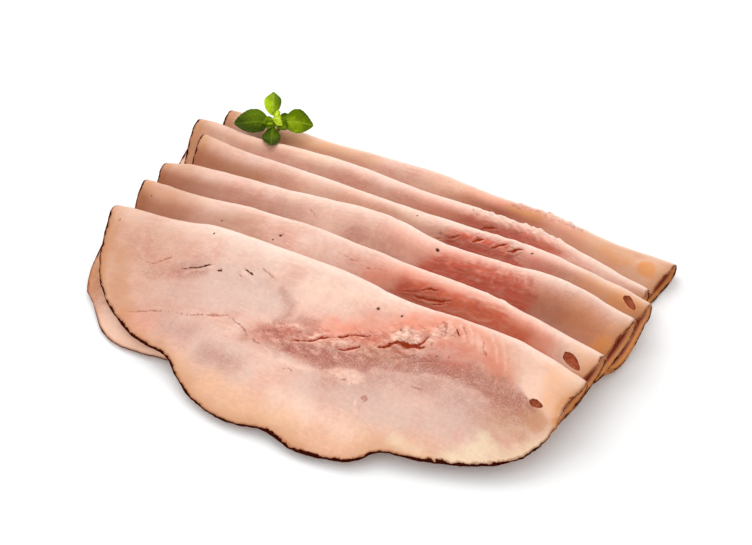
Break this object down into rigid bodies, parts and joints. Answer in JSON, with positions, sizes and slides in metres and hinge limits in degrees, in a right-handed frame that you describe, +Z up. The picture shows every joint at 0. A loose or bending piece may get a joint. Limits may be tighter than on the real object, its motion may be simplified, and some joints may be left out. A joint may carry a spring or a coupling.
{
  "type": "serving of smoked ham slices",
  "caption": "Thin folded slices of smoked ham lying over one another as a fan, with a small leafy basil tip on the folds at the back.",
  "frame": {"origin": "middle of the fan's outline, on the surface that it lies on", "axes": "+X along the folds, +Y towards the back slice, +Z up"},
  "size_m": [0.1968, 0.146, 0.0244],
  "materials": {
    "ham": "moist satin, pale pink meat with a dark smoked rind line",
    "basil": "fresh leaf, slightly glossy"
  },
  "bodies": {
    "root": {"slice_1_back": "ham", "slice_2": "ham", "slice_3": "ham", "slice_4": "ham", "slice_5": "ham", "slice_6_front": "ham", "basil_tip": "basil"}
  },
  "joints": []
}
